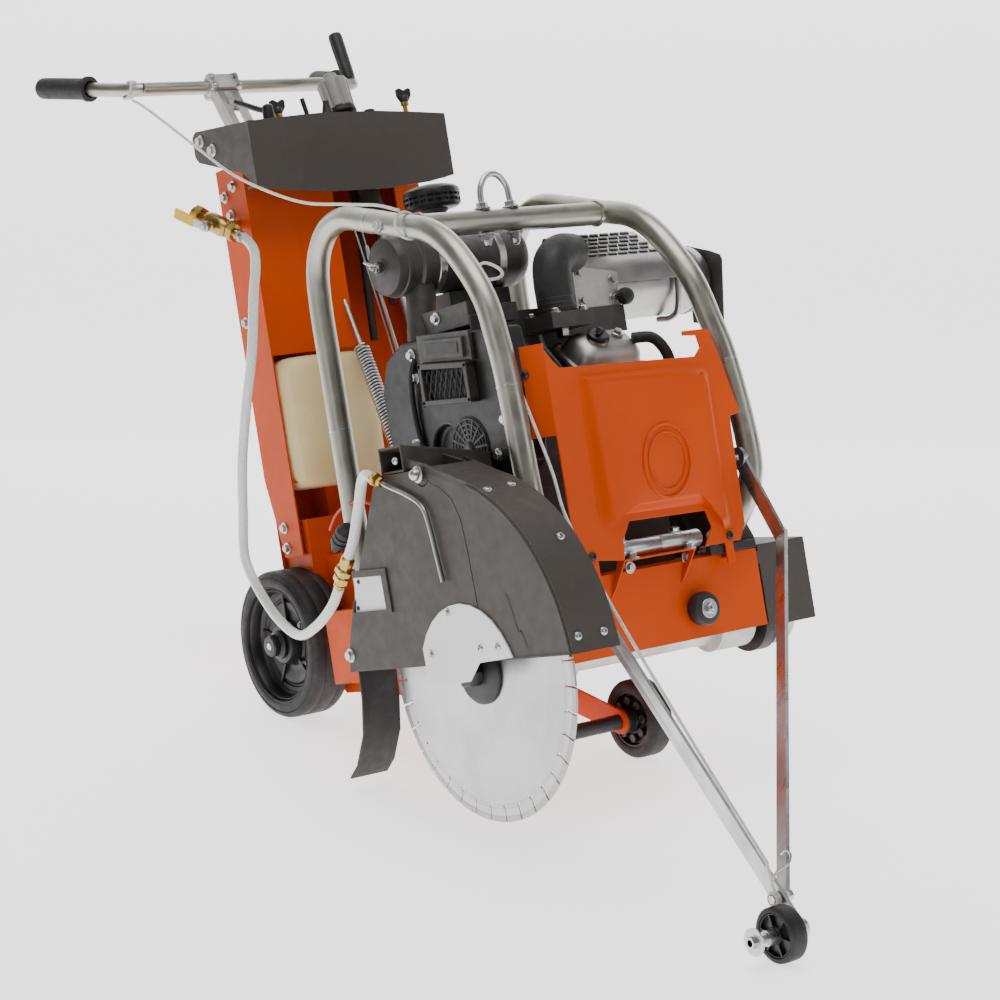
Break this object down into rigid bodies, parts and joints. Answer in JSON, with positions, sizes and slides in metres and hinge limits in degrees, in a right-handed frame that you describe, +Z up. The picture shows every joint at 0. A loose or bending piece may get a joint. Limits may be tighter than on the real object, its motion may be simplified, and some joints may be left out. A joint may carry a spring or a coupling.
{
  "type": "walk-behind concrete saw",
  "caption": "Walk-behind petrol saw that cuts slots in concrete with a guarded wet blade, set to depth by a crank on the console.",
  "frame": {"origin": "centre of the bounding box on the floor plane", "axes": "+Z up; -Y is the machine's front, towards the pointer wheel; +Y is towards the operator; the blade is on the -X side"},
  "size_m": [0.7488, 2.019, 1.1477],
  "materials": {
    "orange_coat": "orange powder coat, satin",
    "dark_coat": "dark warm-grey powder coat, fine texture",
    "nickel_tube": "satin nickel plate",
    "zinc": "bright zinc plate",
    "steel": "bare ground steel",
    "blade_steel": "ground blade steel with a fine radial grain",
    "dark_steel": "phosphated black steel",
    "cast_black": "black enamel over aluminium castings",
    "cast_aluminium": "sand-cast, lightly soiled",
    "black_plastic": "moulded, fine grain",
    "grey_plastic": "moulded grey, ribbed",
    "rubber": "matt black",
    "tyre": "solid rubber, dusty tread",
    "tank_plastic": "translucent natural polyethylene",
    "brass": "machined, slightly tarnished",
    "yellow_grip": "dipped yellow vinyl",
    "hose_plastic": "clear reinforced PVC",
    "rope_fibre": "braided white polyester",
    "white_coat": "white powder coat"
  },
  "bodies": {
    "chassis": {"chassis_frame": "orange_coat", "front_bumper": "rubber", "rear_axle": "steel", "column": "orange_coat", "console_shell": "dark_coat", "console_top": "dark_coat", "hoop_left": "nickel_tube", "hoop_right": "nickel_tube", "hoop_crossbar": "nickel_tube", "lifting_bail": "zinc", "fuel_tank": "tank_plastic", "engine_block": "cast_black", "fan_cover": "black_plastic", "rocker_cover": "cast_aluminium", "air_cleaner": "black_plastic", "intake_elbow": "rubber", "muffler": "steel", "heat_shield": "steel", "engine_cover": "orange_coat", "belt_guard": "dark_coat", "drive_belts": "rubber", "arbor_housing": "cast_aluminium", "guard_rear": "dark_coat", "guard_support": "dark_coat", "hub_plate": "white_coat", "water_tube": "zinc", "splash_flap": "rubber", "water_valve": "brass", "hose_upper": "hose_plastic", "hose_lower": "hose_plastic", "hose_coupling": "brass", "lift_spring": "zinc", "rope_upper": "rope_fibre", "rope_lower": "rope_fibre"},
    "rear_wheel_left": {"rear_wheel_left": "tyre"},
    "rear_wheel_right": {"rear_wheel_right": "tyre"},
    "carriage": {"front_carriage": "orange_coat"},
    "front_wheel_left": {"front_wheel_left": "tyre"},
    "front_wheel_right": {"front_wheel_right": "tyre"},
    "lift": {"lift_tube": "zinc"},
    "crank": {"depth_screw": "steel", "crank_handle": "grey_plastic"},
    "crank_grip": {"crank_grip": "rubber"},
    "blade_shaft": {"arbor_shaft": "steel", "blade": "blade_steel", "outer_flange": "dark_steel", "arbor_pulley": "dark_steel"},
    "engine_shaft": {"engine_pulley": "dark_steel"},
    "guard_front": {"guard_front": "dark_coat"},
    "pointer": {"pointer_frame": "zinc"},
    "pointer_wheel": {"pointer_wheel": "tyre"},
    "handlebar": {"handlebar": "nickel_tube", "grip_left": "rubber", "grip_right": "rubber"},
    "clamp_lever": {"clamp_lever": "black_plastic"},
    "wing_knob_left": {"wing_knob_left": "black_plastic"},
    "wing_knob_right": {"wing_knob_right": "black_plastic"},
    "throttle_lever": {"throttle_lever": "black_plastic"},
    "stop_button": {"stop_button": "black_plastic"},
    "valve_lever": {"valve_lever": "yellow_grip"}
  },
  "joints": [
    {"name": "rear_left_spin", "type": "hinge", "parent": "chassis", "child": "rear_wheel_left", "pos_m": [0.18437, 0.31854, 0.12695], "axis": [1, 0, 0], "continuous": true},
    {"name": "rear_right_spin", "type": "hinge", "parent": "chassis", "child": "rear_wheel_right", "pos_m": [-0.19963, 0.31854, 0.12695], "axis": [1, 0, 0], "continuous": true},
    {"name": "depth_hinge", "type": "hinge", "parent": "chassis", "child": "carriage", "pos_m": [-0.00763, 0.17291, 0.09068], "axis": [-1, 0, 0], "range_deg": [0, 22], "deforming": ["lift_spring"]},
    {"name": "front_left_spin", "type": "hinge", "parent": "carriage", "child": "front_wheel_left", "pos_m": [0.13637, -0.20648, 0.06496], "axis": [1, 0, 0], "continuous": true},
    {"name": "front_right_spin", "type": "hinge", "parent": "carriage", "child": "front_wheel_right", "pos_m": [-0.15163, -0.20648, 0.06496], "axis": [1, 0, 0], "continuous": true},
    {"name": "lift_slide", "type": "slide", "parent": "chassis", "child": "lift", "axis": [0, 0.5298, 0.8481], "range_m": [0, 0.056]},
    {"name": "crank_turn", "type": "hinge", "parent": "chassis", "child": "crank", "pos_m": [0.07237, 0.59454, 1.03505], "axis": [0, 0.5298, 0.8481], "range_deg": [0, 2495]},
    {"name": "crank_grip_spin", "type": "hinge", "parent": "crank", "child": "crank_grip", "pos_m": [0.12538, 0.64163, 1.07637], "axis": [0, 0.5298, 0.8481], "continuous": true},
    {"name": "blade_spin", "type": "hinge", "parent": "chassis", "child": "blade_shaft", "pos_m": [-0.00763, -0.36498, 0.2574], "axis": [1, 0, 0], "continuous": true},
    {"name": "engine_spin", "type": "hinge", "parent": "chassis", "child": "engine_shaft", "pos_m": [0.19237, -0.12202, 0.51335], "axis": [1, 0, 0], "continuous": true},
    {"name": "guard_fold", "type": "hinge", "parent": "chassis", "child": "guard_front", "pos_m": [-0.31063, -0.28352, 0.54509], "axis": [-1, 0, 0], "range_deg": [0, 100]},
    {"name": "pointer_fold", "type": "hinge", "parent": "chassis", "child": "pointer", "pos_m": [-0.00763, -0.36157, 0.51962], "axis": [-1, 0, 0], "range_deg": [0, 115], "deforming": ["rope_lower"]},
    {"name": "pointer_wheel_spin", "type": "hinge", "parent": "pointer", "child": "pointer_wheel", "pos_m": [-0.25763, -0.97146, 0.03845], "axis": [1, 0, 0], "continuous": true},
    {"name": "handlebar_slide", "type": "slide", "parent": "chassis", "child": "handlebar", "axis": [0, 0.7154, 0.6987], "range_m": [-0.02, 0.06], "deforming": ["rope_upper"]},
    {"name": "clamp_lever_turn", "type": "hinge", "parent": "chassis", "child": "clamp_lever", "pos_m": [-0.13063, 0.4908, 1.00342], "axis": [0, 0.2756, 0.9613], "range_deg": [0, 60]},
    {"name": "wing_knob_left_turn", "type": "hinge", "parent": "chassis", "child": "wing_knob_left", "pos_m": [0.13037, 0.45812, 1.01279], "axis": [0, 0.2756, 0.9613], "range_deg": [-90, 90]},
    {"name": "wing_knob_right_turn", "type": "hinge", "parent": "chassis", "child": "wing_knob_right", "pos_m": [-0.09463, 0.5158, 0.99625], "axis": [0, 0.2756, 0.9613], "range_deg": [-90, 90]},
    {"name": "throttle_turn", "type": "hinge", "parent": "chassis", "child": "throttle_lever", "pos_m": [-0.05763, 0.48292, 1.00495], "axis": [-1, 0, 0], "range_deg": [-30, 30]},
    {"name": "stop_button_press", "type": "slide", "parent": "chassis", "child": "stop_button", "axis": [0, -0.2756, -0.9613], "range_m": [0, 0.008], "stiffness_N_per_m": 400, "springref_m": -0.002},
    {"name": "valve_lever_turn", "type": "hinge", "parent": "chassis", "child": "valve_lever", "pos_m": [-0.25445, 0.50427, 0.82802], "axis": [-0.9581, -0.2735, -0.0847], "range_deg": [0, 90]}
  ],
  "couplings": [
    {"joint": "lift_slide", "follows": "depth_hinge", "m_per_rad": 0.14402},
    {"joint": "crank_turn", "follows": "depth_hinge", "ratio": 113.1},
    {"joint": "engine_spin", "follows": "blade_spin", "ratio": 1.25}
  ]
}
